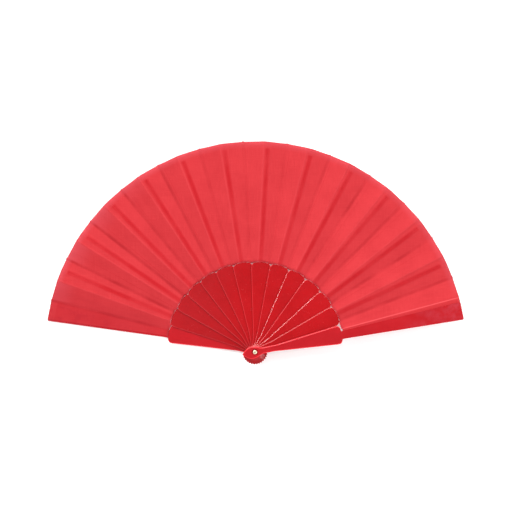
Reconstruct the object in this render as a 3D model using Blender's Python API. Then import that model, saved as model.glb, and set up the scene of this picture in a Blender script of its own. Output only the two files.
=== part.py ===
"""Folding hand fan, open: two guards, twelve ribs, a pleated fabric leaf and the rivet they turn on.

The fan lies flat with its front face up. Every stick turns about the rivet, whose axis is world Z
through the origin. Stick 0 is the front guard at the right, on top of the stack. Sticks 1 to 12 are
the ribs, each one lying under the stick before it. Stick 13 is the back guard at the left, at the
bottom. The leaf is one strip of cloth: a panel is glued to every stick and a free panel, here called
a gusset, joins each glued panel to the next.
"""

import math

import bmesh
import bpy
from mathutils import Vector

MM = 0.001

# Sticks
RIB_COUNT = 12
FRONT = 0
BACK = RIB_COUNT + 1
FRONT_ANGLE = 12.0
STICK_STEP = 12.0
BACK_ANGLE = 167.6
RIB_LEAD = 0.8
RIB_LEAD_FADE = 0.04
RIB_BOW = 2.1
BOW_SKEW = 1.4

# The stack at the rivet
GUARD_THICK = 2.6 * MM
GUARD_STRIP_THICK = 1.6 * MM
RIB_THICK = 0.9 * MM
LAYER_GAP = 0.3 * MM
LAYER_PITCH = RIB_THICK + LAYER_GAP
RIB_FLOOR = GUARD_THICK + LAYER_GAP
FRONT_FLOOR = RIB_FLOOR + RIB_COUNT * LAYER_PITCH
FRONT_TOP = FRONT_FLOOR + GUARD_THICK

# Outline of a stick's wide lower part: pointed tail, round head, slim neck, straight sides, shoulder
TAIL_END = -13.3 * MM
TAIL_POINT = 0.85
HEAD_CENTRE = -2.6 * MM
HEAD_HALF = 6.4 * MM
TAIL_STEPS = 10
NECK_START = 9.5 * MM
NECK_HALF = 3.15 * MM
NECK_STEPS = 6
SHOULDER_STEPS = 7
RIB_SHOULDER = (86.8 * MM, 93.0 * MM, 3.0)
GUARD_SHOULDER = (85.7 * MM, 91.5 * MM, 3.2)

# Each side's half width: its value at the rivet if the side ran on straight, and its growth per metre
RIB_OPEN_SIDE = (1.25 * MM, 0.0925)
RIB_COVERED_SIDE = (1.25 * MM, 0.1107)
GUARD_OUTER_SIDE = (1.2 * MM, 0.1037)
GUARD_INNER_SIDE = (0.9 * MM, 0.094)

# The slope moulded round the front face of the lower part: its width and its drop
RIB_SLOPE = (0.75 * MM, 0.32 * MM)
GUARD_SLOPE = (1.0 * MM, 0.3 * MM)

# A rib's thin upper part, which carries the leaf
SLIP_THICK = 0.45 * MM
SLIP_FLOOR = 0.2 * MM
SLIP_ROOT = 84.0 * MM
SLIP_TWIST_START = 88.0 * MM
SLIP_TWIST_END = 92.9 * MM
SLIP_ROOT_HALF = 2.2 * MM
SLIP_TIP_HALF = 2.3 * MM
SLIP_TIP = 211.5 * MM
SLIP_TIP_ROUND = 1.8 * MM
SLIP_TIP_STEPS = 3
SLIP_EDGE_GAP = 0.35 * MM

# A guard's upper part: a strip between an outer edge line and an inner ray
STRIP_ROOT = 84.0 * MM
STRIP_TIP = 218.0 * MM
FRONT_STRIP_EDGE = (5.5 * MM, 11.9 * MM)
BACK_STRIP_EDGE = (5.3 * MM, 15.2 * MM)
STRIP_INNER_LEAD = 1.7
STRIP_CORNER = 1.6 * MM
STRIP_FILLET = 1.3 * MM
ARC_STEPS = 5

# Leaf
LEAF_INNER = 93.3 * MM
LEAF_OUTER = 218.0 * MM
LEAF_THICK = 0.12 * MM
LEAF_START_ANGLE = 9.3
LEAF_END_ANGLE = 171.2
LEAF_END_LAG = 1.3
VALLEY_LAG = 3.35
MOUNTAIN_LEAD = 3.0
FOLD_CREEP = 0.09
PLEAT_RISE = 4.0 * MM
LAST_PLEAT_RISE = 2.8 * MM
PANEL_LIFT = 0.7 * MM
FRONT_PANEL_DROP = 0.17 * MM
BACK_PANEL_LIFT = 0.06 * MM
FOLD_GAP = 0.12

# Rivet
SHANK_RADIUS = 1.3 * MM
HOLE_RADIUS = 1.4 * MM
TAIL_RADIUS = 3.0 * MM
TAIL_THICK = 0.7 * MM
TAIL_SEAT_RADIUS = 3.4 * MM
TAIL_SEAT_DEPTH = 0.95 * MM
RECESS_RADIUS = 3.25 * MM
RECESS_DEPTH = 1.3 * MM
CAP_RADIUS = 2.15 * MM
CAP_HOLE_RADIUS = 1.0 * MM
CAP_THICK = 0.85 * MM
CAP_FOOT_GAP = 0.15 * MM
PIN_NECK_RADIUS = 0.9 * MM
PIN_NECK_ROOT = 2.0 * MM
BORE_RADIUS = 0.45 * MM
BORE_DEPTH = 1.2 * MM
ROUND_STEPS = 24
CUT_MARGIN = 1.0 * MM

for old in list(bpy.data.objects):
    bpy.data.objects.remove(old, do_unlink=True)

fan = bpy.data.collections.new("folding_hand_fan")
helpers = bpy.data.collections.new("cutters")
bpy.context.scene.collection.children.link(fan)
bpy.context.scene.collection.children.link(helpers)


def plain_material(name, colour, roughness, metallic=0.0):
    material = bpy.data.materials.new(name)
    material.use_nodes = True
    shader = material.node_tree.nodes["Principled BSDF"]
    shader.inputs["Base Color"].default_value = (*colour, 1.0)
    shader.inputs["Roughness"].default_value = roughness
    shader.inputs["Metallic"].default_value = metallic
    material.diffuse_color = (*colour, 1.0)
    return material


STICK_RED = (0.56, 0.016, 0.020)
CLOTH_RED = (0.83, 0.055, 0.065)
BRASS = (0.80, 0.66, 0.42)
guard_plastic = plain_material("guard_plastic", STICK_RED, 0.25)
rib_plastic = plain_material("rib_plastic", STICK_RED, 0.28)
leaf_cloth = plain_material("leaf_cloth", CLOTH_RED, 0.7)
rivet_brass = plain_material("rivet_brass", BRASS, 0.3, 1.0)


def stick_angle(index):
    """Direction of a stick's centre line, in degrees from +X."""
    if index == FRONT:
        return FRONT_ANGLE
    if index == BACK:
        return BACK_ANGLE
    bow = math.sin(math.pi * (index / BACK) ** BOW_SKEW)
    return FRONT_ANGLE + STICK_STEP * index + RIB_LEAD - RIB_LEAD_FADE * index + RIB_BOW * bow


def valley_angle(index):
    """The low fold where the panel of a stick starts, or the leaf's first edge."""
    if index == FRONT:
        return LEAF_START_ANGLE
    return FRONT_ANGLE + STICK_STEP * index - VALLEY_LAG + FOLD_CREEP * index


def mountain_angle(index, radius):
    """The high fold where the panel of a stick ends, or the leaf's last edge.

    Near the leaf's inner edge the fold gives way a little, so that it clears the edge of the slip.
    """
    share = (LEAF_OUTER - radius) / (LEAF_OUTER - LEAF_INNER)
    if index == BACK:
        return LEAF_END_ANGLE - LEAF_END_LAG * share
    straight = FRONT_ANGLE + STICK_STEP * index + MOUNTAIN_LEAD + FOLD_CREEP * index
    if index == FRONT:
        return straight
    slip_edge = stick_angle(index) + math.degrees((SLIP_ROOT_HALF + SLIP_EDGE_GAP) / LEAF_INNER)
    return straight + share * max(0.0, slip_edge - straight)


def rib_floor(index):
    return RIB_FLOOR + (RIB_COUNT - index) * LAYER_PITCH


def pleat_slope(index):
    """Rise of a rib's panel per metre across it. Both the panel and the slip under it lean this much."""
    rise = LAST_PLEAT_RISE if index == RIB_COUNT else PLEAT_RISE
    width = LEAF_OUTER * math.radians(mountain_angle(index, LEAF_OUTER) - valley_angle(index))
    return rise / width


def panel_level(index, angle, radius):
    """Height of the underside of a stick's glued panel."""
    if index == FRONT:
        return FRONT_TOP - GUARD_STRIP_THICK - FRONT_PANEL_DROP
    if index == BACK:
        return GUARD_STRIP_THICK + BACK_PANEL_LIFT
    across = radius * math.radians(angle - stick_angle(index))
    return rib_floor(index) + PANEL_LIFT + pleat_slope(index) * across


def on_ray(radius, degrees, height):
    angle = math.radians(degrees)
    return Vector((radius * math.cos(angle), radius * math.sin(angle), height))


def mesh_object(name, mesh, collection, material=None):
    obj = bpy.data.objects.new(name, mesh)
    collection.objects.link(obj)
    if material:
        mesh.materials.clear()
        mesh.materials.append(material)
    return obj


def hide_helper(obj):
    obj.hide_render = True
    obj.display_type = "WIRE"


def plate(name, levels, collection, material=None):
    """A flat piece built up from matching outlines, given in the stick's own frame with their heights."""
    work = bmesh.new()
    rings = []
    for outline, height in levels:
        rings.append([work.verts.new((x, y, height)) for x, y in outline])
    work.faces.new(list(reversed(rings[0])))
    work.faces.new(rings[-1])
    for low, high in zip(rings, rings[1:]):
        for index in range(len(low)):
            after = (index + 1) % len(low)
            work.faces.new((low[index], low[after], high[after], high[index]))
    bmesh.ops.recalc_face_normals(work, faces=work.faces)
    mesh = bpy.data.meshes.new(name)
    work.to_mesh(mesh)
    work.free()
    return mesh_object(name, mesh, collection, material)


def loft(name, sections, collection, material=None):
    """A closed body through four-cornered sections, each listed in the same turning order.

    Opposite sides are split along matching diagonals, so a twisted sheet keeps its thickness.
    """
    work = bmesh.new()
    rings = []
    for section in sections:
        rings.append([work.verts.new(corner) for corner in section])
    work.faces.new(rings[0])
    work.faces.new(list(reversed(rings[-1])))
    for near, far in zip(rings, rings[1:]):
        for side in range(4):
            after = (side + 1) % 4
            if side < 2:
                work.faces.new((near[side], far[side], far[after]))
                work.faces.new((near[side], far[after], near[after]))
            else:
                work.faces.new((near[side], far[side], near[after]))
                work.faces.new((far[side], far[after], near[after]))
    bmesh.ops.recalc_face_normals(work, faces=work.faces)
    if work.calc_volume(signed=True) < 0:
        bmesh.ops.reverse_faces(work, faces=work.faces)
    mesh = bpy.data.meshes.new(name)
    work.to_mesh(mesh)
    work.free()
    return mesh_object(name, mesh, collection, material)


def rod(name, radius, low, high, collection, material=None):
    bpy.ops.mesh.primitive_cylinder_add(
        vertices=ROUND_STEPS, radius=radius, depth=high - low, location=(0.0, 0.0, (low + high) / 2)
    )
    obj = bpy.context.active_object
    obj.name = name
    for owner in list(obj.users_collection):
        owner.objects.unlink(obj)
    collection.objects.link(obj)
    if material:
        obj.data.materials.append(material)
    return obj


def boolean(obj, operand, operation):
    modifier = obj.modifiers.new(operation.lower() + "_" + operand.name, "BOOLEAN")
    modifier.operation = operation
    modifier.solver = "EXACT"
    modifier.object = operand


def side_line(side, shoulder, inset):
    """One side of the lower outline, as distances along and across, from the tail to the shoulder's end.

    A positive inset gives the edge of the flat middle of the front face instead. It runs out at the
    shoulder's end, where the face is flat up to the leaf.
    """
    base, growth = side
    start, end, power = shoulder
    tail_reach = TAIL_END + inset - HEAD_CENTRE
    head_half = HEAD_HALF - inset
    neck_half = NECK_HALF - inset
    shoulder_half = base - inset + growth * start
    points = [(TAIL_END + inset, 0.0)]
    for step in range(1, TAIL_STEPS + 1):
        part = 1 - step / TAIL_STEPS
        across = head_half * math.cos(0.5 * math.pi * part) ** TAIL_POINT
        points.append((HEAD_CENTRE + tail_reach * part, across))
    for step in range(1, NECK_STEPS + 1):
        part = step / NECK_STEPS
        swell = 0.5 + 0.5 * math.cos(math.pi * part)
        across = neck_half + (head_half - neck_half) * swell
        points.append((HEAD_CENTRE + (NECK_START - HEAD_CENTRE) * part, across))
    points.append(((NECK_HALF - base) / growth, neck_half))
    for step in range(SHOULDER_STEPS):
        turn = 0.5 * math.pi * step / SHOULDER_STEPS
        along = math.sin(turn) ** (2 / power)
        across = math.cos(turn) ** (2 / power)
        points.append((start + (end - start) * along, shoulder_half * across))
    points.append((end, 0.0))
    return points


def stick_outline(left_side, right_side, shoulder, inset):
    """Closed outline in the stick's frame, the left side on +Y when looking from the rivet to the shoulder."""
    left = side_line(left_side, shoulder, inset)
    right = side_line(right_side, shoulder, inset)
    return [(x, -y) for x, y in right] + list(reversed(left[1:-1]))


def lower_part(name, left_side, right_side, shoulder, thickness, slope, material):
    """The stick's wide lower part: flat behind, and in front flat with a sloping rim."""
    width, drop = slope
    full = stick_outline(left_side, right_side, shoulder, 0.0)
    middle = stick_outline(left_side, right_side, shoulder, width)
    levels = [(full, 0.0), (full, thickness - drop), (middle, thickness)]
    return plate(name, levels, fan, material)


def slip_section(radius, half, lean):
    """Cross-section of a slip: a thin bar leaning about the stick's centre line."""
    top = SLIP_FLOOR + SLIP_THICK
    corners = []
    for across, height in ((-half, SLIP_FLOOR), (half, SLIP_FLOOR), (half, top), (-half, top)):
        corners.append(Vector((radius, across, height + across * lean)))
    return corners


def slip(index):
    lean = pleat_slope(index)
    sections = [
        slip_section(SLIP_ROOT, SLIP_ROOT_HALF, 0.0),
        slip_section(SLIP_TWIST_START, SLIP_ROOT_HALF, 0.0),
        slip_section(SLIP_TWIST_END, SLIP_ROOT_HALF, lean),
        slip_section(SLIP_TIP - SLIP_TIP_ROUND, SLIP_TIP_HALF, lean),
    ]
    for step in range(1, SLIP_TIP_STEPS + 1):
        turn = 0.5 * math.pi * step / (SLIP_TIP_STEPS + 1)
        radius = SLIP_TIP - SLIP_TIP_ROUND * (1 - math.sin(turn))
        sections.append(slip_section(radius, SLIP_TIP_HALF * math.cos(turn), lean))
    return loft(f"slip_{index:02d}", sections, helpers)


def corner_arc(corner, before, after, size):
    """Points that round a corner lying between two neighbouring outline points."""
    corner = Vector(corner)
    into = corner + (Vector(before) - corner).normalized() * size
    out = corner + (Vector(after) - corner).normalized() * size
    points = []
    for step in range(ARC_STEPS + 1):
        part = step / ARC_STEPS
        bend = into * (1 - part) ** 2 + corner * (2 * part * (1 - part)) + out * part**2
        points.append((bend.x, bend.y))
    return points


def strip_outline(edge_offsets):
    """A guard's upper part in the stick's frame, widening to its tip, with the outer edge on -Y.

    A small fillet leads into the shoulder, and both tip corners are rounded.
    """
    root_offset, tip_offset = edge_offsets
    shoulder_end = GUARD_SHOULDER[1]

    def outer_edge(along):
        share = (along - shoulder_end) / (STRIP_TIP - shoulder_end)
        return (along, -(root_offset + (tip_offset - root_offset) * share))

    high_root = (STRIP_ROOT, STRIP_ROOT * math.tan(math.radians(STRIP_INNER_LEAD)))
    high = on_ray(STRIP_TIP, STRIP_INNER_LEAD, 0.0)
    high_tip = (high.x, high.y)
    low_tip = outer_edge(math.sqrt(STRIP_TIP**2 - tip_offset**2))
    low_foot = outer_edge(shoulder_end + STRIP_FILLET)
    low_corner = (shoulder_end, low_foot[1])
    flare = (shoulder_end - STRIP_FILLET, low_foot[1] - STRIP_FILLET)
    points = [outer_edge(STRIP_ROOT), flare]
    points += corner_arc(low_corner, flare, low_foot, STRIP_FILLET)
    points += corner_arc(low_tip, low_foot, high_tip, STRIP_CORNER)
    points += corner_arc(high_tip, low_tip, high_root, STRIP_CORNER)
    points.append(high_root)
    return points


def build_rib(index, hole):
    name = f"rib_{index:02d}"
    rib = lower_part(name, RIB_OPEN_SIDE, RIB_COVERED_SIDE, RIB_SHOULDER, RIB_THICK, RIB_SLOPE, rib_plastic)
    upper = slip(index)
    for obj in (rib, upper):
        obj.location.z = rib_floor(index)
        obj.rotation_euler.z = math.radians(stick_angle(index))
    boolean(rib, upper, "UNION")
    boolean(rib, hole, "DIFFERENCE")
    hide_helper(upper)
    return rib


def build_guard(name, angle, floor, strip_low, strip_high, strip_edge, outer_side, hole, seat):
    """outer_side is -1 where the fan's outside lies clockwise of the stick, and 1 where it lies the other way."""
    left, right = GUARD_INNER_SIDE, GUARD_OUTER_SIDE
    if outer_side > 0:
        left, right = right, left
    guard = lower_part(name, left, right, GUARD_SHOULDER, GUARD_THICK, GUARD_SLOPE, guard_plastic)
    edge = [(x, -outer_side * y) for x, y in strip_outline(strip_edge)]
    upper = plate(name + "_strip", [(edge, strip_low), (edge, strip_high)], helpers)
    for obj in (guard, upper):
        obj.location.z = floor
        obj.rotation_euler.z = math.radians(angle)
    boolean(guard, upper, "UNION")
    boolean(guard, hole, "DIFFERENCE")
    boolean(guard, seat, "DIFFERENCE")
    hide_helper(upper)
    return guard


def sheet_section(radius, low_angle, low_level, high_angle, high_level):
    return [
        on_ray(radius, low_angle, low_level),
        on_ray(radius, high_angle, high_level),
        on_ray(radius, high_angle, high_level + LEAF_THICK),
        on_ray(radius, low_angle, low_level + LEAF_THICK),
    ]


def build_panel(index):
    """The panel glued to a stick, between its two folds."""
    start = valley_angle(index) + (FOLD_GAP / 2 if index != FRONT else 0.0)
    sections = []
    for radius in (LEAF_INNER, LEAF_OUTER):
        end = mountain_angle(index, radius) - (FOLD_GAP / 2 if index != BACK else 0.0)
        low = panel_level(index, start, radius)
        high = panel_level(index, end, radius)
        sections.append(sheet_section(radius, start, low, end, high))
    return loft(f"leaf_panel_{index:02d}", sections, fan, leaf_cloth)


def build_gusset(index):
    """The free panel from the mountain fold of one stick down to the valley fold of the next."""
    end = valley_angle(index + 1)
    sections = []
    for radius in (LEAF_INNER, LEAF_OUTER):
        start = mountain_angle(index, radius)
        low = panel_level(index, start, radius)
        high = panel_level(index + 1, end, radius)
        sections.append(sheet_section(radius, start + FOLD_GAP / 2, low, end - FOLD_GAP / 2, high))
    return loft(f"leaf_gusset_{index:02d}", sections, fan, leaf_cloth)


# Holes and seats for the rivet
rivet_hole = rod("rivet_hole", HOLE_RADIUS, -CUT_MARGIN, FRONT_TOP + CUT_MARGIN, helpers)
tail_seat = rod("tail_seat", TAIL_SEAT_RADIUS, -CUT_MARGIN, TAIL_SEAT_DEPTH, helpers)
cap_recess = rod("cap_recess", RECESS_RADIUS, FRONT_TOP - RECESS_DEPTH, FRONT_TOP + CUT_MARGIN, helpers)
for cutter in (rivet_hole, tail_seat, cap_recess):
    hide_helper(cutter)

# Sticks
sticks = {}
sticks[BACK] = build_guard(
    "back_guard", BACK_ANGLE, 0.0, 0.0, GUARD_STRIP_THICK, BACK_STRIP_EDGE, 1, rivet_hole, tail_seat
)
for number in range(RIB_COUNT, 0, -1):
    sticks[number] = build_rib(number, rivet_hole)
sticks[FRONT] = build_guard(
    "front_guard",
    FRONT_ANGLE,
    FRONT_FLOOR,
    GUARD_THICK - GUARD_STRIP_THICK,
    GUARD_THICK,
    FRONT_STRIP_EDGE,
    -1,
    rivet_hole,
    cap_recess,
)

# Rivet: a flat tail let into the back guard, a long shank, and a pressed ring in front
rivet = rod("rivet_pin", SHANK_RADIUS, TAIL_THICK / 2, FRONT_TOP - RECESS_DEPTH, fan, rivet_brass)
tail = rod("rivet_tail", TAIL_RADIUS, 0.0, TAIL_THICK, helpers)
cap_low = FRONT_TOP - RECESS_DEPTH + CAP_FOOT_GAP
cap_high = cap_low + CAP_THICK
neck = rod("rivet_neck", PIN_NECK_RADIUS, FRONT_TOP - PIN_NECK_ROOT, cap_high, helpers)
bore = rod("rivet_bore", BORE_RADIUS, cap_high - BORE_DEPTH, FRONT_TOP + CUT_MARGIN, helpers)
boolean(rivet, tail, "UNION")
boolean(rivet, neck, "UNION")
boolean(rivet, bore, "DIFFERENCE")
cap = rod("rivet_cap", CAP_RADIUS, cap_low, cap_high, fan, rivet_brass)
cap_hole = rod("cap_hole", CAP_HOLE_RADIUS, cap_low - CUT_MARGIN, cap_high + CUT_MARGIN, helpers)
boolean(cap, cap_hole, "DIFFERENCE")
for helper in (tail, neck, bore, cap_hole):
    hide_helper(helper)

# Leaf
panels = {number: build_panel(number) for number in range(BACK + 1)}
gussets = {number: build_gusset(number) for number in range(BACK)}

# One pivot empty per turning stick, each hung from the stick it lies on
holder = None
for number in range(BACK, -1, -1):
    pivot = bpy.data.objects.new(f"pivot_{number:02d}", None)
    fan.objects.link(pivot)
    pivot.parent = holder
    members = [sticks[number], panels[number]]
    if number in gussets:
        members.append(gussets[number])
    if number == BACK:
        members += [rivet, cap]
    for member in members:
        member.parent = pivot
    holder = pivot
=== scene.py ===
"""Looks of the folding hand fan: pleated cloth leaf, moulded plastic sticks, brass rivet.

The floor, the lights and the camera are at the end.
"""

import math

import bmesh
import bpy
import numpy as np
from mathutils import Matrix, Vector, noise


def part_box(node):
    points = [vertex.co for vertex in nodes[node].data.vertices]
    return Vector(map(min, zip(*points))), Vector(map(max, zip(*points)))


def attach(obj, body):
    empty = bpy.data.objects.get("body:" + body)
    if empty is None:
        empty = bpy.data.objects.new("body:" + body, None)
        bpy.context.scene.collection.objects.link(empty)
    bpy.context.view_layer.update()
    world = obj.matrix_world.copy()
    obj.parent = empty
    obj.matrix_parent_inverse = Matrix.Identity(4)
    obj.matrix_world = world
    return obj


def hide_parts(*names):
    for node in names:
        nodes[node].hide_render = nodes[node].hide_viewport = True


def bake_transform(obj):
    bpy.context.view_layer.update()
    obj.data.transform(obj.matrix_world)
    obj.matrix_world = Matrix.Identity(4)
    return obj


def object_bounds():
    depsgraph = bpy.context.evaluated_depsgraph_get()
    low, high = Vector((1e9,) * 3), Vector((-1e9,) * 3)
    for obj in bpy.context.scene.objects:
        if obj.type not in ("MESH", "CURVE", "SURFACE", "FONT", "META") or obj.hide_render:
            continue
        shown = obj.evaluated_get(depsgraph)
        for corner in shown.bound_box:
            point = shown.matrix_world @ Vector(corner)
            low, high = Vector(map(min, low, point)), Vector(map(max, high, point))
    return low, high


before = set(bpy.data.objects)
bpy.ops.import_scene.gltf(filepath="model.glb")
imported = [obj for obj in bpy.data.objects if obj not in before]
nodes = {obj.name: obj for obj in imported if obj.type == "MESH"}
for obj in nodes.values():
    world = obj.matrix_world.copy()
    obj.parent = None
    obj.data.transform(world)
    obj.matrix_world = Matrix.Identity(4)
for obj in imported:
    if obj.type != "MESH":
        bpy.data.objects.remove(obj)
cad_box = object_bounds()
MM = 0.001
RIBS = 12
# the sticks count from the front guard, 0, to the back guard
BACK = RIBS + 1

# ---------------------------------------------------------------- reading the frame

# a rib's centre line is taken from its slip, beyond this radius
SLIP_END = 0.2
# a shoulder's outline is looked for this far in from the leaf, in so many steps round the rivet
SHOULDER_DEPTH = 7.0 * MM
SHOULDER_STEPS = 24
# what the leaf's inner edge keeps clear of the shoulders above and below it in the shut fan
SHUT_GAP = 0.1 * MM


def node_points(name):
    return np.array([v.co for v in nodes[name].data.vertices], float)


def polar(points):
    """(radii, angles) of points, seen from the front."""
    return np.hypot(points[:, 0], points[:, 1]), np.arctan2(points[:, 1], points[:, 0])


def fold_ends(name):
    """The two long edges of a leaf node, each as its (inner, outer) mid-thickness points."""
    pts = np.unique(np.round(node_points(name), 7), axis=0)
    radius, angle = polar(pts)
    split = (radius.min() + radius.max()) / 2
    ends = []
    for inner in (True, False):
        ring = pts[(radius < split) == inner]
        turn = angle[(radius < split) == inner]
        middle = (turn.min() + turn.max()) / 2
        ends.append((ring[turn < middle].mean(0), ring[turn >= middle].mean(0)))
    (first_in, last_in), (first_out, last_out) = ends
    return (first_in, first_out), (last_in, last_out)


def between(one, other):
    return tuple((np.array(a) + np.array(b)) / 2 for a, b in zip(one, other))


panel_edges = [fold_ends(f"leaf_panel_{k:02d}") for k in range(BACK + 1)]
gusset_edges = [fold_ends(f"leaf_gusset_{k:02d}") for k in range(BACK)]
# fold lines in order round the fan, each as (inner point, outer point)
mountains = [between(panel_edges[k][1], gusset_edges[k][0]) for k in range(BACK)]
valleys = [between(gusset_edges[k][1], panel_edges[k + 1][0]) for k in range(BACK)]
leaf_first = panel_edges[0][0]
leaf_last = panel_edges[BACK][1]


def slip_angle(k):
    """Direction of a rib's centre line, from the end of its slip."""
    pts = node_points(f"rib_{k:02d}")
    far = pts[polar(pts)[0] > SLIP_END]
    return math.atan2(far[:, 1].mean(), far[:, 0].mean())


slip_angles = {k: slip_angle(k) for k in range(1, RIBS + 1)}
SLIP_TIP = float(polar(node_points("rib_06"))[0].max())
LEAF_IN = float(np.hypot(*leaf_first[0][:2]))
LEAF_OUT = float(np.hypot(*leaf_first[1][:2]))
RADIAL = LEAF_OUT - LEAF_IN


def shoulder_line(name):
    """(angles, radii) of a stick's rounded shoulder, seen from the front."""
    radius, angle = polar(node_points(name))
    near = (radius > LEAF_IN - SHOULDER_DEPTH) & (radius < LEAF_IN)
    angle, radius = angle[near], radius[near]
    steps = np.linspace(angle.min(), angle.max(), SHOULDER_STEPS + 1)
    middles = (steps[:-1] + steps[1:]) / 2
    reach = []
    for low, high in zip(steps, steps[1:]):
        inside = radius[(angle >= low) & (angle <= high)]
        reach.append(inside.max() if len(inside) else np.nan)
    reach = np.array(reach)
    known = ~np.isnan(reach)
    return middles[known], reach[known]


rib_names = [f"rib_{k:02d}" for k in range(1, RIBS + 1)]
stick_names = ["front_guard", *rib_names, "back_guard"]
shoulders = [shoulder_line(name) for name in stick_names]


def shoulder_reach(angle):
    """How far out the longest stick's shoulder comes at an angle."""
    return max(float(np.interp(angle, turns, radii, 0.0, 0.0)) for turns, radii in shoulders)


def free_height(k):
    """The (lowest, highest) height free for the inner edge of a leaf piece in the shut fan.

    The shoulders of the rib two sticks behind and of the rib in front then lie under and over it.
    """
    lowest, highest = 0.0, cad_box[1][2]
    if k + 2 <= RIBS:
        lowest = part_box(f"rib_{k + 2:02d}")[1].z + SHUT_GAP
    if k > 1:
        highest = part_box(f"rib_{k - 1:02d}")[0].z - SHUT_GAP
    return lowest, highest


# ---------------------------------------------------------------- materials


def rgb(r, g, b):
    return (r, g, b, 1.0)


class Nodes:
    """Short names for the nodes of one material."""

    def __init__(self, name):
        self.material = bpy.data.materials.new(name)
        self.material.use_nodes = True
        self.tree = self.material.node_tree
        self.shader = self.tree.nodes["Principled BSDF"]

    def new(self, kind, **settings):
        made = self.tree.nodes.new("ShaderNode" + kind)
        for key, value in settings.items():
            setattr(made, key, value)
        return made

    def put(self, socket, value):
        """Links a socket to a socket, or sets it to a value."""
        if isinstance(value, bpy.types.NodeSocket):
            self.tree.links.new(value, socket)
        else:
            socket.default_value = value

    def set(self, **values):
        for key, value in values.items():
            self.put(self.shader.inputs[key.replace("_", " ")], value)

    def place(self):
        """Where a point is on its object, in metres."""
        return self.new("TexCoord").outputs["Object"]

    def parts(self, vector):
        made = self.new("SeparateXYZ")
        self.put(made.inputs[0], vector)
        return made.outputs[0], made.outputs[1], made.outputs[2]

    def vector(self, operation, *vectors):
        made = self.new("VectorMath", operation=operation)
        for socket, value in zip(made.inputs, vectors):
            self.put(socket, value)
        return made

    def scaled(self, vector, x, y, z):
        return self.vector("MULTIPLY", vector, (x, y, z)).outputs["Vector"]

    def length(self, vector):
        return self.vector("LENGTH", vector).outputs["Value"]

    def maths(self, operation, *values):
        made = self.new("Math", operation=operation)
        for socket, value in zip(made.inputs, values):
            self.put(socket, value)
        return made.outputs[0]

    def times(self, product, *others):
        for other in others:
            product = self.maths("MULTIPLY", product, other)
        return product

    def rise(self, value, low, high):
        """0 up to 'low', and smoothly up to 1 at 'high'."""
        made = self.new("MapRange", interpolation_type="SMOOTHSTEP")
        self.put(made.inputs["Value"], value)
        self.put(made.inputs["From Min"], low)
        self.put(made.inputs["From Max"], high)
        return made.outputs["Result"]

    def fall(self, value, low, high):
        """1 up to 'low', and smoothly down to 0 at 'high'."""
        return self.maths("SUBTRACT", 1.0, self.rise(value, low, high))

    def mix(self, share, a, b):
        made = self.new("Mix", data_type="RGBA", blend_type="MIX")
        self.put(made.inputs["Factor"], share)
        self.put(made.inputs["A"], a)
        self.put(made.inputs["B"], b)
        return made.outputs["Result"]

    def tint(self, colour, where, strength, other):
        """Takes a colour towards another, as far as 'where' times 'strength'."""
        return self.mix(self.times(where, strength), colour, other)

    def noise(self, vector, scale, detail=2.0, roughness=0.5, distortion=0.0):
        made = self.new("TexNoise")
        self.put(made.inputs["Vector"], vector)
        made.inputs["Scale"].default_value = scale
        made.inputs["Detail"].default_value = detail
        made.inputs["Roughness"].default_value = roughness
        made.inputs["Distortion"].default_value = distortion
        return made.outputs["Fac"]

    def bump(self, height, distance, strength, normal=None):
        made = self.new("Bump")
        made.inputs["Strength"].default_value = strength
        made.inputs["Distance"].default_value = distance
        self.put(made.inputs["Height"], height)
        if normal is not None:
            self.put(made.inputs["Normal"], normal)
        return made.outputs["Normal"]


# plastic
# painted shade: a deeper red for the sticks at the left, where less light falls
LEFT_SHADE_PAINT = rgb(0.225, 0.018, 0.023)
PALE_SPECK = rgb(0.72, 0.09, 0.1)
# painted reflection: a pale sheen towards the plastic's tip
TIP_SHEEN_PAINT = rgb(0.48, 0.09, 0.13)
# painted highlight along the sloping and rounded edges
EDGE_HIGHLIGHT_PAINT = rgb(0.86, 0.030, 0.045)
# cloth
CLOTH_DEEP = rgb(0.477, 0.0238, 0.0304)
CLOTH_BRIGHT = rgb(0.520, 0.0290, 0.0360)
SLUB_LIGHT = rgb(0.60, 0.045, 0.051)
THREAD_SHADE = rgb(0.36, 0.010, 0.014)
SLIP_SHADE = rgb(0.41, 0.0015, 0.0065)
VALLEY_SHADE = rgb(0.26, 0.002, 0.006)
# painted highlights along the mountain folds and along the first crest
MOUNTAIN_HIGHLIGHT_PAINT = rgb(0.66, 0.07, 0.08)
CREST_HIGHLIGHT_PAINT = rgb(0.72, 0.09, 0.1)
# the turned-under border's own paler tone, together with painted sheen
HEM_TONE_AND_SHEEN = rgb(0.53, 0.056, 0.072)
RIM_SHADE = rgb(0.30, 0.010, 0.016)
# painted sheen on the free panels at the left, towards the border
LEFT_PANEL_SHEEN_PAINT = rgb(0.56, 0.062, 0.080)
GLUE_MARK = rgb(0.36, 0.010, 0.022)
LAST_SHADE = rgb(0.33, 0.012, 0.020)
# painted light along the cloth's inner edge
INNER_EDGE_LIGHT_PAINT = rgb(0.62, 0.06, 0.075)
# brass
BRASS_BRIGHT = rgb(0.97, 0.90, 0.66)
BRASS_TARNISH = rgb(0.88, 0.72, 0.42)
# painted shade inside the rivet ring's hole
HOLE_SHADE_PAINT = rgb(0.10, 0.075, 0.03)

# the painted sheen on the plastic, a painted reflection, starts at the first radius and is full at
# the second, in metres
TIP_SHEEN_FROM, TIP_SHEEN_FULL = 0.135, 0.216
# distance between the cloth's threads, in mm
THREAD_GAP = 0.28
# how far right of the rivet the valleys hold least shade, in mm
PALE_MIDDLE = 5.0
# radii of the painted shade in the rivet ring's hole, where it is darkest and where it ends
HOLE_SHADE_IN, HOLE_SHADE_OUT = 0.62 * MM, 0.74 * MM


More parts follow.
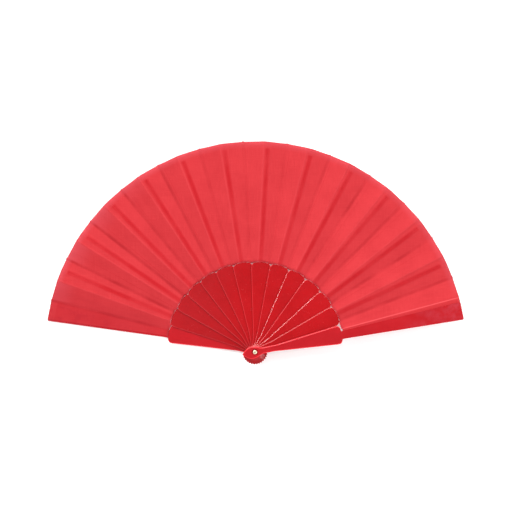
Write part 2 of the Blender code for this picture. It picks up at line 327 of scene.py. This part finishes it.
def plastic(name, deep, bright, roughness, seed, edge_highlight, left_painted_shade=0.0):
    """Moulded gloss plastic, with colour drift, flow streaks, specks, pitting and scuffs.

    The edge argument sets how far the thin rounded and sloping edges are painted lighter, a
    painted highlight, and the left argument how far the sticks at the left are painted darker,
    a painted shade.
    """
    m = Nodes(name)
    where = m.place()
    point = m.vector("ADD", where, (seed, seed * 0.37, seed * 1.7)).outputs["Vector"]
    drift = m.noise(point, 14.0, detail=3.0)
    lengthways = m.scaled(point, 1.0, 1.0, 30.0)
    streak = m.noise(lengthways, 55.0, roughness=0.6, distortion=0.6)
    shade = m.maths("ADD", m.times(drift, 0.75), m.times(streak, 0.25))
    colour = m.mix(m.rise(shade, 0.32, 0.68), deep, bright)
    speck = m.rise(m.noise(point, 420.0, detail=1.0), 0.74, 0.8)
    colour = m.tint(colour, speck, 0.006, PALE_SPECK)
    # painted shade: the sticks at the left are painted darker, where less light falls on them
    if left_painted_shade:
        left = m.rise(m.parts(where)[0], 0.0, -0.055)
        colour = m.tint(colour, left, left_painted_shade, LEFT_SHADE_PAINT)
    # painted reflection: a pale sheen in patches towards the tip
    out = m.rise(m.length(where), TIP_SHEEN_FROM, TIP_SHEEN_FULL)
    sheen_patches = m.rise(m.noise(point, 75.0, detail=4.0, roughness=0.62), 0.36, 0.68)
    colour = m.tint(colour, m.maths("MULTIPLY_ADD", out, 0.24, 0.012), sheen_patches, TIP_SHEEN_PAINT)
    # painted highlight: the rounded and sloping edges, neither level nor upright, are painted
    # lighter
    upright = m.maths("ABSOLUTE", m.parts(m.new("TexCoord").outputs["Normal"])[2])
    slope = m.times(m.rise(upright, 0.4, 0.75), m.fall(upright, 0.955, 0.988))
    colour = m.tint(colour, slope, edge_highlight, EDGE_HIGHLIGHT_PAINT)
    scuff = m.noise(m.scaled(point, 1.0, 1.0, 4.0), 240.0, detail=4.0, roughness=0.65)
    rough = m.maths("ADD", roughness - 0.05, m.times(m.rise(scuff, 0.4, 0.75), 0.08))
    wavy = m.bump(m.noise(point, 60.0), distance=0.00035, strength=0.5)
    pitted = m.bump(m.noise(point, 1500.0), distance=0.000005, strength=0.5, normal=wavy)
    m.set(Base_Color=colour, Roughness=rough, Normal=pitted)
    m.set(Specular_IOR_Level=0.34, Coat_Weight=0.03, Coat_Roughness=0.12)
    return m.material


class Cloth(Nodes):
    """Thin woven polyester.

    The maps hold millimetres: 'weave' is the cloth's own plane, 'slips' the way across from the
    nearest slip and the radius, 'folds' the way across from the nearest valley and mountain.
    """

    def __init__(self, name):
        super().__init__(name)
        self.weave = self.uv("weave")
        self.slips = self.uv("slips")
        self.across, self.radius, _ = self.parts(self.slips)
        self.from_valley, self.from_mountain, _ = self.parts(self.uv("folds"))
        self.x, self.y, _ = self.parts(self.weave)
        self.left = self.times(self.x, -1.0)
        # how steeply the place lies as seen from the rivet: 0 at the sides, more at the middle
        off_middle = self.maths("ABSOLUTE", self.x)
        self.slope = self.maths("DIVIDE", self.y, self.maths("MAXIMUM", off_middle, 1.0))

    def uv(self, layer):
        return self.new("UVMap", uv_map=layer).outputs["UV"]

    def near_line(self, distance, full, none):
        """1 near a line, and 0 away from it on both sides."""
        return self.fall(self.maths("ABSOLUTE", distance), full, none)

    def weaving(self):
        """(threads over and under each other, thicker threads both ways)."""
        turn = 2 * math.pi / THREAD_GAP
        warp = self.maths("SINE", self.times(self.x, turn))
        weft = self.maths("SINE", self.times(self.y, turn))
        threads = self.maths("ADD", self.times(warp, weft, 0.5), 0.5)
        along = self.noise(self.scaled(self.weave, 0.06, 2.6, 1.0), 1.0, roughness=0.6)
        over = self.noise(self.scaled(self.weave, 2.6, 0.06, 1.0), 1.0, roughness=0.6)
        return threads, self.maths("ADD", along, over)

    def slips_behind(self, colour):
        """A slip behind the cloth shows as a soft strip of painted shade, patchy along its length.
        """
        waver = self.times(self.maths("SUBTRACT", self.noise(self.weave, 0.12), 0.5), 0.9)
        off = self.maths("ADD", self.maths("ABSOLUTE", self.across), waver)
        strip = self.fall(off, 0.7, 3.5)
        strip_end = self.fall(self.radius, SLIP_TIP / MM - 1.5, SLIP_TIP / MM + 0.8)
        strip_patches = self.rise(self.noise(self.weave, 0.022, detail=3.0), 0.36, 0.62)
        strength = self.maths("MULTIPLY_ADD", strip_patches, 0.45, 0.48)
        # painted shade where the slip behind keeps light from coming through the cloth
        behind = self.times(strip, strip_end, strength)
        return self.tint(colour, behind, 0.72, SLIP_SHADE)

    def folds(self, colour):
        """Ironed valleys hold a little painted shade, more at the sides, and mountains get a
        painted highlight.
        """
        held = self.rise(self.noise(self.weave, 0.03), 0.35, 0.65)
        held = self.maths("MULTIPLY_ADD", held, 0.3, 0.12)
        off_middle = self.maths("ABSOLUTE", self.maths("ADD", self.x, -PALE_MIDDLE))
        sideways = self.rise(off_middle, 30.0, 95.0)
        held = self.times(held, self.maths("MULTIPLY_ADD", sideways, 0.65, 0.35))
        valley = self.near_line(self.from_valley, 0.3, 2.7)
        colour = self.tint(colour, valley, held, VALLEY_SHADE)
        # painted highlight along each mountain fold
        mountain = self.near_line(self.from_mountain, 0.1, 1.2)
        colour = self.tint(colour, mountain, 0.14, MOUNTAIN_HIGHLIGHT_PAINT)
        # painted highlight: the first mountain, beside the front guard, gets a thin pale line
        right = self.maths("GREATER_THAN", self.x, 0.0)
        rightmost = self.times(right, self.fall(self.slope, 0.30, 0.34))
        crest = self.near_line(self.from_mountain, 0.25, 0.75)
        return self.tint(colour, self.times(rightmost, crest), 0.6, CREST_HIGHLIGHT_PAINT)

    def border(self, colour):
        """The outer border is turned under and glued: a shade lighter, partly its own tone and
        partly painted sheen, with a thin dark rim.
        """
        rim = LEAF_OUT / MM
        waver = self.times(self.noise(self.weave, 0.25, detail=1.0), 1.2)
        wavering = self.maths("SUBTRACT", self.radius, waver)
        blotch = self.rise(self.noise(self.weave, 0.5, detail=3.0, roughness=0.6), 0.35, 0.7)
        toward_left = self.rise(self.left, 10.0, 110.0)
        border = self.times(
            self.rise(wavering, rim - 8.5, rim - 2.0),
            self.maths("MULTIPLY_ADD", blotch, 0.3, 0.6),
            self.maths("MULTIPLY_ADD", toward_left, 0.25, 0.8),
            self.rise(self.y, 42.0, 85.0),
        )
        # the hem's own paler tone, with painted sheen that is stronger towards the left and the
        # top
        colour = self.mix(border, colour, HEM_TONE_AND_SHEEN)
        colour = self.tint(colour, self.rise(self.radius, rim - 0.9, rim - 0.3), 0.4, RIM_SHADE)
        # painted sheen: the free panels at the left are painted paler towards the border
        free = self.times(
            self.rise(self.from_mountain, 0.0, 2.0),
            self.rise(self.times(self.from_valley, -1.0), 0.0, 2.0),
        )
        leftward = self.rise(self.left, 70.0, 190.0)
        sheen_near_rim = self.times(free, leftward, self.rise(wavering, rim - 27.0, rim - 3.0))
        return self.tint(colour, sheen_near_rim, 0.55, LEFT_PANEL_SHEEN_PAINT)

    def left_end(self, colour):
        """Faint marks of the glue over the back guard, and painted shade on the last pleats beside
        it.
        """
        guard = self.rise(self.left, 120.0, 175.0)
        over_guard = self.times(guard, self.maths("LESS_THAN", self.slope, 0.232))
        marks = self.rise(self.noise(self.weave, 0.09, detail=3.0, roughness=0.6), 0.46, 0.66)
        colour = self.tint(colour, self.times(over_guard, marks), 0.4, GLUE_MARK)
        # painted shade on the last pleats beside the back guard
        last = self.times(self.rise(self.left, 60.0, 130.0), self.fall(self.slope, 0.27, 0.40))
        return self.tint(colour, last, 0.27, LAST_SHADE)


def cloth(name):
    """The whole cloth: uneven dye and weave, with painted shade and highlights at the slips,
    folds, border and inner edge.
    """
    m = Cloth(name)
    threads, slubs = m.weaving()
    cloud = m.noise(m.weave, 0.035, detail=3.0, roughness=0.55)
    colour = m.mix(m.rise(cloud, 0.3, 0.7), CLOTH_DEEP, CLOTH_BRIGHT)
    colour = m.tint(colour, m.rise(slubs, 0.85, 1.25), 0.35, SLUB_LIGHT)
    colour = m.tint(colour, threads, 0.08, THREAD_SHADE)
    colour = m.slips_behind(colour)
    colour = m.folds(colour)
    colour = m.border(colour)
    colour = m.left_end(colour)
    # painted light: the inner edge is painted paler, over the shade between the cloth and the
    # shoulders
    lit_inner_edge = m.fall(m.radius, LEAF_IN / MM + 0.2, LEAF_IN / MM + 1.3)
    colour = m.tint(colour, lit_inner_edge, 0.7, INNER_EDGE_LIGHT_PAINT)

    rough = m.maths("MULTIPLY_ADD", slubs, 0.08, 0.56)
    raised = m.maths("ADD", m.times(threads, 0.7), m.times(slubs, 0.5))
    woven = m.bump(raised, distance=0.00004, strength=0.6)
    creases = m.noise(m.scaled(m.slips, 1.0, 0.3, 1.0), 0.22, detail=3.0)
    crumple = m.bump(creases, distance=0.00022, strength=0.55, normal=woven)
    m.set(Base_Color=colour, Roughness=rough, Normal=crumple)
    m.set(Specular_IOR_Level=0.1, Sheen_Weight=0.04, Sheen_Roughness=0.45)
    m.set(Sheen_Tint=rgb(1.0, 0.5, 0.5))
    return m.material


def brass(name):
    """Pressed brass with a little tarnish and fine dents, with painted shade near the axis, inside
    its small hole.
    """
    m = Nodes(name)
    where = m.place()
    tarnish = m.rise(m.noise(where, 700.0, detail=3.0, roughness=0.6), 0.35, 0.75)
    colour = m.tint(BRASS_BRIGHT, tarnish, 0.35, BRASS_TARNISH)
    rough = m.maths("MULTIPLY_ADD", tarnish, 0.14, 0.36)
    off_axis = m.length(m.scaled(where, 1.0, 1.0, 0.0))
    # painted shade near the rivet's axis, down the ring's hole
    colour = m.tint(colour, m.fall(off_axis, HOLE_SHADE_IN, HOLE_SHADE_OUT), 0.92, HOLE_SHADE_PAINT)
    dents = m.bump(m.noise(where, 2200.0), distance=0.00002, strength=0.6)
    m.set(Base_Color=colour, Roughness=rough, Metallic=0.75, Normal=dents)
    return m.material


def floor_material(name):
    """Plain and pale, and lit a little from within, so that the fan's own shadow is soft."""
    m = Nodes(name)
    tone = m.mix(m.noise(m.place(), 3.0), rgb(0.93, 0.93, 0.93), rgb(0.95, 0.95, 0.95))
    m.set(Base_Color=tone, Roughness=0.9, Specular_IOR_Level=0.1)
    m.set(Emission_Color=rgb(1.0, 1.0, 1.0), Emission_Strength=0.28)
    return m.material


guard_look = plastic(
    "guard_gloss_plastic",
    deep=rgb(0.378, 0.0068, 0.0112),
    bright=rgb(0.447, 0.0093, 0.0147),
    roughness=0.24,
    seed=0.31,
    edge_highlight=0.65,
)
rib_look = plastic(
    "rib_gloss_plastic",
    deep=rgb(0.335, 0.002, 0.004),
    bright=rgb(0.415, 0.004, 0.007),
    roughness=0.26,
    seed=1.13,
    edge_highlight=0.26,
    left_painted_shade=0.22,
)
cloth_look = cloth("leaf_woven_cloth")
brass_look = brass("rivet_turned_brass")

# ---------------------------------------------------------------- sticks and rivet pin

# how far the moulded edges are rounded
RIB_EDGE = 0.1 * MM
GUARD_EDGE = 0.35 * MM
# points this near are one, faces this near to level are one, and sharper angles are edges
WELD_DISTANCE = 0.002 * MM
FLAT_ANGLE = math.radians(0.5)
EDGE_ANGLE = math.radians(14.0)


def give_material(name, material):
    for slot in nodes[name].material_slots:
        slot.material = material


def finish_moulded(name, material, edge):
    """Gives a CAD stick its plastic and rounds its moulded edges, without touching its mesh."""
    give_material(name, material)
    weld = nodes[name].modifiers.new("weld", "WELD")
    weld.merge_threshold = WELD_DISTANCE
    flat = nodes[name].modifiers.new("flat_faces", "DECIMATE")
    flat.decimate_type = "DISSOLVE"
    flat.angle_limit = FLAT_ANGLE
    bevel = nodes[name].modifiers.new("moulded_edge", "BEVEL")
    bevel.width = edge
    bevel.segments = 3
    bevel.limit_method = "ANGLE"
    bevel.angle_limit = EDGE_ANGLE


for rib in rib_names:
    finish_moulded(rib, rib_look, RIB_EDGE)
for guard in ("front_guard", "back_guard"):
    finish_moulded(guard, guard_look, GUARD_EDGE)
give_material("rivet_pin", brass_look)

# ---------------------------------------------------------------- rivet ring

RING_STEPS = 48


def add_object(name, work, material):
    """Makes a smooth mesh object in the scene from a bmesh."""
    for face in work.faces:
        face.smooth = True
    mesh = bpy.data.meshes.new(name)
    work.to_mesh(mesh)
    work.free()
    mesh.materials.append(material)
    obj = bpy.data.objects.new(name, mesh)
    bpy.context.scene.collection.objects.link(obj)
    return obj


def turned(name, profile, material):
    """A lathe-turned piece about the rivet's axis, from (radius, height) points."""
    work = bmesh.new()
    rings = []
    for radius, height in profile:
        ring = []
        for step in range(RING_STEPS):
            turn = 2 * math.pi * step / RING_STEPS
            ring.append(work.verts.new((radius * math.cos(turn), radius * math.sin(turn), height)))
        rings.append(ring)
    for near, far in zip(rings, rings[1:] + rings[:1]):
        for step in range(RING_STEPS):
            after = (step + 1) % RING_STEPS
            work.faces.new((near[step], near[after], far[after], far[step]))
    bmesh.ops.recalc_face_normals(work, faces=work.faces)
    return add_object(name, work, material)


cap_low, cap_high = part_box("rivet_cap")
crown = cap_high.z
seat = cap_low.z
outer = cap_high.x
# up inside the hole, over the rolled crown and down the outside
ring_profile = [
    (0.95 * MM, crown - 0.75 * MM),
    (0.95 * MM, crown + 0.01 * MM),
    (0.68 * MM, crown + 0.01 * MM),
    (0.65 * MM, crown + 0.05 * MM),
    (0.74 * MM, crown + 0.10 * MM),
    (0.98 * MM, crown + 0.13 * MM),
    (1.30 * MM, crown + 0.12 * MM),
    (1.65 * MM, crown + 0.04 * MM),
    (outer - 0.18 * MM, crown - 0.14 * MM),
    (outer, crown - 0.34 * MM),
    (outer - 0.05 * MM, seat + 0.06 * MM),
    (outer - 0.25 * MM, seat),
    (1.0 * MM, seat),
]
ring = turned("rivet_rolled_ring", ring_profile, brass_look)
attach(ring, "back_guard")
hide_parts("rivet_cap")

# ---------------------------------------------------------------- leaf

# a leaf piece has three facets: glued, free, glued, with so many columns in each
FACET_COLUMNS = (4, 11, 9)
GLUED_FIRST, FREE, GLUED_LAST = 0, 1, 2
ROWS = 46
CLOTH_THICK = 0.12 * MM
# half the width over which an ironed fold is rounded, and the most of a facet that it takes
FOLD_BAND = 1.4 * MM
FOLD_SHARE = 0.22
# how far the cloth reaches in past the glued panels
INNER_REACH = 0.2 * MM
# how far a free facet bellies at the rim, and how much that varies, in mm
BELLY, BELLY_VARIES, BELLY_SEED = -0.30, 0.34, 3.7
# how far a glued facet sags beside its slip at the rim, and how much that varies, in mm
SAG, SAG_VARIES, SAG_SEED = 0.24, 0.18, 9.1
# the cloth is held this far off a slip's middle, and is free this much further out
SLIP_HOLD = 1.9 * MM
SLIP_EASE = 2.2 * MM
# a fold keeps the cloth from sagging this near to it
FOLD_HOLD = 1.2 * MM
# what is left of the sag over a guard, which is as wide as its panel
GUARD_SAG = 0.12
# how far an ironed valley stands out at the rim, how far in that starts, and how wide it is
POINT_OUT = 0.5 * MM
POINT_DEPTH = 3 * MM
POINT_WIDTH = 1.6 * MM
# the inner edge dips into the notches between shoulders, up to this far, and beside the guards
NOTCH_DIP = 1.1 * MM
FRONT_NOTCH_DIP = 0.8 * MM
BACK_NOTCH_DIP = 2.4 * MM
# how far up the leaf the dip is felt, and what its edge keeps clear of the shoulders
DIP_REACH = 5.5 * MM
NOTCH_GAP = 0.35 * MM
# a notch this deep has room for the cloth to go under the rib in front
NOTCH_ROOM = 0.5 * MM
# how far off a slip the cloth beside the back guard counts as, for the shade of what is behind
GUARD_SHOW = 2.2 * MM


def clamped(value):
    return min(1.0, max(0.0, value))


def fold_point(fold, share):
    """(angle, height) of a fold line a given share of the way out."""
    point = fold[0] + (fold[1] - fold[0]) * share
    return math.atan2(point[1], point[0]), point[2]


def spread_shares(count, width):
    """Shares from 0 to 1 across a facet, with close columns at each fold."""
    band = min(FOLD_SHARE, FOLD_BAND / width)
    inner = [band + (1 - 2 * band) * i / count for i in range(count + 1)]
    return [0.0, band / 3, band * 2 / 3] + inner + [1 - band * 2 / 3, 1 - band / 3, 1.0]


def slip_line(k):
    """The rib's centre line, on the panel glued to it."""
    turn = slip_angles[k]
    ends = []
    for low, high in zip(*panel_edges[k]):
        a0, a1 = math.atan2(low[1], low[0]), math.atan2(high[1], high[0])
        share = (turn - a0) / (a1 - a0)
        radius = float(np.hypot(low[0], low[1]))
        height = low[2] + (high[2] - low[2]) * share
        ends.append(np.array((radius * math.cos(turn), radius * math.sin(turn), height)))
    return tuple(ends)


def wander(angle, radius, seed):
    """Slow unevenness of ironed cloth, about 45 mm along the pleat and 2 degrees across it."""
    where = Vector((math.degrees(angle) * 0.55, radius / MM * 0.022, seed))
    return noise.noise(where) + 0.45 * noise.noise(where * 2.3 + Vector((7.0, 3.0, 1.0)))


def leaf_lines(k):
    """The lines that bound a leaf piece's facets, each as (inner point, outer point)."""
    start = leaf_first if k == 0 else slip_line(k)
    end = leaf_last if k == BACK - 1 else slip_line(k + 1)
    return [start, mountains[k], valleys[k], end]


def leaf_columns(widths):
    """(facet, share of the way across it) for each column of a leaf piece's points."""
    columns = []
    for facet, (width, count) in enumerate(zip(widths, FACET_COLUMNS)):
        shares = spread_shares(count, width)
        # facets share the column on the fold between them
        if facet != GLUED_FIRST:
            shares = shares[1:]
        columns += [(facet, share) for share in shares]
    return columns


def free_belly(angle, radius, share, size):
    """How far the free facet stands off the straight line between its folds."""
    belly = math.sin(math.pi * share)
    return (BELLY + BELLY_VARIES * wander(angle, radius, BELLY_SEED)) * MM * belly * size


def glued_sag(angle, radius, slip, folds, on_guard, size):
    """How far a glued facet sags off the straight line from its slip to its fold."""
    off_slip = clamped((abs(slip) - SLIP_HOLD) / SLIP_EASE)
    off_slip = off_slip * off_slip * (3 - 2 * off_slip)
    if on_guard:
        off_slip *= GUARD_SAG
    hold = min(1.0, *(abs(fold) / FOLD_HOLD for fold in folds))
    return (SAG + SAG_VARIES * wander(angle, radius, SAG_SEED)) * MM * off_slip * hold * size


def fold_rounding(off_fold, turn, size):
    """How far a pressed crease is rounded, where the cloth's slope changes by 'turn'."""
    band = FOLD_BAND * size
    near = max(0.0, 1 - abs(off_fold) / band)
    return turn * band / 4 * near * near


def rim_point(radius, off_valley):
    """How far an ironed valley stands out at the rim."""
    outward = max(0.0, 1 - (LEAF_OUT - radius) / POINT_DEPTH)
    return POINT_OUT * (outward * max(0.0, 1 - abs(off_valley) / POINT_WIDTH))


def leaf_points(k, lines, columns):
    """(place, maps) of each point of a leaf piece, in rows from the inner edge to the rim."""
    first, last = k == 0, k == BACK - 1
    lowest, highest = free_height(k)
    dip = FRONT_NOTCH_DIP if first else BACK_NOTCH_DIP if last else NOTCH_DIP
    points = []
    for row in range(ROWS + 1):
        out = row / ROWS - (1 - row / ROWS) * INNER_REACH / RADIAL
        folds = [fold_point(line, out) for line in lines]
        ends = [line[0] + (line[1] - line[0]) * out for line in lines]
        row_radius = LEAF_IN + RADIAL * out
        size = row_radius / LEAF_OUT
        slopes = []
        for (near_angle, near_z), (far_angle, far_z) in zip(folds, folds[1:]):
            slopes.append((far_z - near_z) / ((far_angle - near_angle) * row_radius))
        for facet, share in columns:
            near, far = ends[facet], ends[facet + 1]
            point = near + (far - near) * share
            near_angle, far_angle = folds[facet][0], folds[facet + 1][0]
            angle = near_angle + (far_angle - near_angle) * share
            radius = float(np.hypot(point[0], point[1]))
            # distances across from the four lines, in metres
            start, mountain, valley, end = [(angle - turn) * radius for turn, _ in folds]
            slip = end if first else start if last else min(end, start, key=abs)
            if facet == FREE:
                lift = free_belly(angle, radius, share, size)
            else:
                on_guard = first and facet == GLUED_FIRST or last and facet == GLUED_LAST
                lift = -glued_sag(angle, radius, slip, (mountain, valley), on_guard, size)
                if last and facet == GLUED_LAST:
                    slip = GUARD_SHOW
            lift -= fold_rounding(mountain, slopes[0] - slopes[1], size)
            lift -= fold_rounding(valley, slopes[1] - slopes[2], size)
            shift = rim_point(radius, valley)
            # near the inner edge, clear of the neighbours' shoulders and down into the notch
            inward = clamped(1 - (radius - LEAF_IN) / DIP_REACH)
            if inward > 0 and not (first and facet == GLUED_FIRST):
                height = point[2] + lift
                room = max(0.0, LEAF_IN - INNER_REACH - NOTCH_GAP - shoulder_reach(angle))
                clear = min(1.0, 2.0 * inward)
                lift += max(0.0, lowest - height) * clear
                lift -= max(0.0, height - highest) * clear * min(1.0, room / NOTCH_ROOM)
                shift -= min(dip, room) * inward
            point = point + point / np.linalg.norm(point[:2]) * (shift, shift, 0.0)
            weave = (radius * math.cos(angle) / MM, radius * math.sin(angle) / MM)
            maps = (weave, (slip / MM, radius / MM), (valley / MM, mountain / MM))
            points.append(((point[0], point[1], point[2] + lift), maps))
    return points


def leaf_mesh(points, wide):
    """A bmesh of the cloth's middle surface, 'wide' points across, with the cloth's maps."""
    work = bmesh.new()
    made = [work.verts.new(place) for place, _ in points]
    layers = [work.loops.layers.uv.new(layer) for layer in ("weave", "slips", "folds")]
    for row in range(ROWS):
        for column in range(wide - 1):
            here = row * wide + column
            corners = (here, here + wide, here + wide + 1, here + 1)
            face = work.faces.new([made[i] for i in corners])
            for loop, i in zip(face.loops, corners):
                for layer, place in zip(layers, points[i][1]):
                    loop[layer].uv = place
    bmesh.ops.recalc_face_normals(work, faces=work.faces)
    if sum(face.normal.z for face in work.faces) < 0:
        bmesh.ops.reverse_faces(work, faces=work.faces)
    return work


def leaf_piece(k):
    """The cloth from the middle of one slip, over the mountain and the valley, to the next."""
    lines = leaf_lines(k)
    widths = [float(np.linalg.norm(b[1] - a[1])) for a, b in zip(lines, lines[1:])]
    columns = leaf_columns(widths)
    points = leaf_points(k, lines, columns)
    obj = add_object(f"leaf_cloth_{k:02d}", leaf_mesh(points, len(columns)), cloth_look)
    shell = obj.modifiers.new("cloth_thickness", "SOLIDIFY")
    shell.thickness = CLOTH_THICK
    shell.offset = 0.0
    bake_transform(obj)
    stands_for = [f"leaf_gusset_{k:02d}", f"leaf_panel_{k:02d}"]
    if k == BACK - 1:
        stands_for.append(f"leaf_panel_{BACK:02d}")
    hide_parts(*stands_for)


for k in range(BACK):
    leaf_piece(k)

# ---------------------------------------------------------------- floor, light, camera

# just clear of the rivet's rear head
FLOOR_HEIGHT = -0.3 * MM
FLOOR_SIZE = 6.0
FAN_MIDDLE = 0.1

bpy.ops.mesh.primitive_plane_add(size=FLOOR_SIZE, location=(0.0, FAN_MIDDLE, FLOOR_HEIGHT))
floor = bpy.context.active_object
floor.name = "floor"
floor.data.materials.append(floor_material("plain_pale_floor"))

LIT_POINT = Vector((0.0, FAN_MIDDLE, 0.0))
WHITE = (1.0, 1.0, 1.0)
WARM = (1.0, 0.99, 0.98)
# (name, place, size in metres, power in watts, colour)
studio_lights = [
    ("key", (-1.1, 2.75, 1.9), 3.0, 102.0, WARM),
    ("fill_right", (1.1, 0.0, 0.9), 0.9, 8.5, WHITE),
    ("fill_left", (-1.0, -1.2, 1.39), 0.9, 0.7, WHITE),
    # small ones that the sloping edges of the right-hand sticks mirror
    ("edge_box_high", (-0.96, 1.10, 1.39), 0.18, 3.6, WHITE),
    ("edge_box_low", (-1.315, 0.59, 1.39), 0.18, 2.7, WHITE),
    ("edge_box_guard", (-0.278, 1.05, 1.68), 0.8, 4.5, WHITE),
]
for name, place, size, power, colour in studio_lights:
    light = bpy.data.lights.new(name, "AREA")
    light.shape = "DISK"
    light.size = size
    light.energy = power
    light.color = colour
    lamp = bpy.data.objects.new(name, light)
    lamp.location = place
    lamp.rotation_euler = (LIT_POINT - Vector(place)).to_track_quat("-Z", "Y").to_euler()
    bpy.context.scene.collection.objects.link(lamp)

# how bright the studio's walls are, and its ceiling
SKY_SIDES, SKY_TOP = 1.66, 0.22
world = bpy.data.worlds.new("studio")
bpy.context.scene.world = world
world.use_nodes = True
sky = world.node_tree
background = sky.nodes["Background"]
coord = sky.nodes.new("ShaderNodeTexCoord")
split = sky.nodes.new("ShaderNodeSeparateXYZ")
fade = sky.nodes.new("ShaderNodeMapRange")
fade.inputs["From Min"].default_value = 0.0
fade.inputs["From Max"].default_value = 1.0
fade.inputs["To Min"].default_value = SKY_SIDES
fade.inputs["To Max"].default_value = SKY_TOP
sky.links.new(coord.outputs["Generated"], split.inputs[0])
sky.links.new(split.outputs["Z"], fade.inputs["Value"])
sky.links.new(fade.outputs["Result"], background.inputs["Strength"])
background.inputs["Color"].default_value = (*WHITE, 1.0)

# the camera looks straight down from CAMERA_HEIGHT over the middle of the sticks' heights,
# where the picture is VIEW_WIDTH wide
CAMERA_X, CAMERA_Y = 0.00108, 0.09918
CAMERA_HEIGHT = 2.4
FAN_HEIGHT = 0.009
VIEW_WIDTH = 0.53004
SENSOR_WIDTH = 36.0
camera_data = bpy.data.cameras.new("camera")
camera = bpy.data.objects.new("camera", camera_data)
bpy.context.scene.collection.objects.link(camera)
camera.location = (CAMERA_X, CAMERA_Y, CAMERA_HEIGHT + FAN_HEIGHT)
camera_data.sensor_width = SENSOR_WIDTH
camera_data.lens = SENSOR_WIDTH * CAMERA_HEIGHT / VIEW_WIDTH
camera_data.clip_start = 0.05
camera_data.clip_end = 50.0
bpy.context.scene.camera = camera

bpy.context.scene.view_settings.view_transform = "Standard"
bpy.context.scene.view_settings.look = "None"
